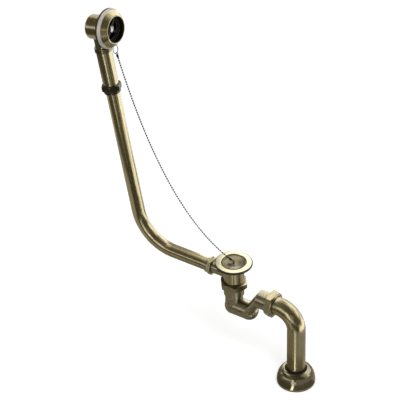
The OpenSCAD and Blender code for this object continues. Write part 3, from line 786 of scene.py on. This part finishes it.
    lamps: tuple[tuple[str, Point, float, float], ...] = (
        ("lamp_key", (1.4, -0.9, 2.1), 1.1, 26.0),
        ("lamp_fill", (-1.9, -1.5, 1.6), 1.2, 10.0),
    )
    steps: int = 48

    def camera(self) -> None:
        """Places the camera as the photograph's was."""
        a, e, roll = (math.radians(v) for v in (self.azimuth, self.elevation, self.roll))
        right = Vector((math.cos(a), math.sin(a), 0.0))
        back = Vector((math.sin(a) * math.cos(e), -math.cos(a) * math.cos(e), math.sin(e)))
        up = back.cross(right)
        turned = (
            right * math.cos(roll) + up * math.sin(roll),
            up * math.cos(roll) - right * math.sin(roll),
            back,
        )
        axes = Matrix([tuple(v) for v in turned]).transposed()
        seen = Vector((self.shift[0], self.shift[1], -self.distance))
        data = bpy.data.cameras.new("photo_camera")
        data.lens, data.sensor_width = self.lens, self.sensor
        data.clip_start, data.clip_end = 0.05, 100.0
        camera = bpy.data.objects.new("photo_camera", data)
        camera.matrix_world = Matrix.Translation(-(axes @ seen)) @ axes.to_4x4()
        bpy.context.scene.collection.objects.link(camera)
        bpy.context.scene.camera = camera

    def _sheet(self, name: str, points: list[Point], faces: list[tuple[int, ...]]) -> bpy.types.Object:
        """Adds a mesh that belongs to the studio.

        Args:
            name: the object's name.
            points: its vertices.
            faces: its faces.

        Returns:
            The object.
        """
        mesh = bpy.data.meshes.new(name)
        mesh.from_pydata(points, [], faces)
        sheet = bpy.data.objects.new(name, mesh)
        bpy.context.scene.collection.objects.link(sheet)
        return sheet

    def floor(self) -> None:
        """Lays the pale floor, which stays near white and keeps the shadow."""
        half = self.floor_half
        corners = [(-half, -half, FLOOR_LEVEL), (half, -half, FLOOR_LEVEL),
                   (half, half, FLOOR_LEVEL), (-half, half, FLOOR_LEVEL)]
        floor = self._sheet("floor", corners, [(0, 1, 2, 3)])
        material, graph = new_material("floor_paint")
        graph.surface(
            Base_Color=(0.86, 0.86, 0.86),
            Roughness=0.9,
            Specular_IOR_Level=0.0,
            Emission_Color=graph.blend(graph.seen_directly(), (0.0, 0.0, 0.0), (1.0, 1.0, 1.0)),
            Emission_Strength=0.34,
        )
        floor.data.materials.append(material)

    def hang_cards(self) -> None:
        """Sets the cards round the object, seen only in its reflections."""
        for card in self.cards:
            material, graph = new_material(card.name)
            glow = graph.node("ShaderNodeEmission", None, {"Color": card.glow, "Strength": 1.0})
            graph.node("ShaderNodeOutputMaterial", None, {"Surface": glow.outputs[0]})
            middle_x, middle_y = card.middle
            points: list[Point] = []
            for step in range(self.steps + 1):
                turn = card.from_azimuth + (card.to_azimuth - card.from_azimuth) * step / self.steps
                a = math.radians(turn)
                for reach, level in ((card.inner, card.low), (card.outer, card.high)):
                    points.append((middle_x + reach * math.cos(a), middle_y + reach * math.sin(a), level))
            faces = [(2 * i, 2 * i + 1, 2 * i + 3, 2 * i + 2) for i in range(self.steps)]
            sheet = self._sheet(card.name, points, faces)
            sheet.data.materials.append(material)
            for ray in ("camera", "diffuse", "shadow", "transmission", "volume_scatter"):
                setattr(sheet, f"visible_{ray}", False)

    def light(self) -> None:
        """Sets the soft lamps and the white surroundings."""
        for name, place, size, power in self.lamps:
            data = bpy.data.lights.new(name, "AREA")
            data.size, data.energy = size, power
            lamp = bpy.data.objects.new(name, data)
            lamp.location = place
            lamp.rotation_euler = (-Vector(place)).to_track_quat("-Z", "Y").to_euler()
            lamp.visible_glossy = False
            bpy.context.scene.collection.objects.link(lamp)
        world = bpy.data.worlds.new("white_surroundings")
        world.use_nodes = True
        bpy.context.scene.world = world
        graph = Graph(world.node_tree)
        strength = graph.seen_directly() * (1.0 - self.surroundings) + self.surroundings
        sky = graph.node("ShaderNodeBackground", None, {"Color": (1.0, 1.0, 1.0), "Strength": strength})
        graph.node("ShaderNodeOutputWorld", None, {"Surface": sky.outputs[0]})

    def build(self) -> None:
        """Builds the studio."""
        self.camera()
        self.floor()
        self.hang_cards()
        self.light()
        bpy.context.scene.view_settings.view_transform = "Standard"
        LOG.info("studio: %d lamps, %d cards", len(self.lamps), len(self.cards))


def main(frame: dict) -> None:
    """Dresses the frame and builds the studio.
    """
    logging.basicConfig(level=logging.INFO, format="%(name)s %(message)s")
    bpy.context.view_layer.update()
    Studio().build()
    dresser = Dresser(frame["nodes"])
    for assembly in (WasteFitting(), OverflowRun(), OverflowHead(), PlugChain(), Trap(), FloorOutlet()):
        assembly.build(dresser)
        LOG.info("%s done", type(assembly).__name__)
    if dresser.missing():
        LOG.warning("no finish: %s", ", ".join(dresser.missing()))


if __name__ == "__main__":
    main(frame)
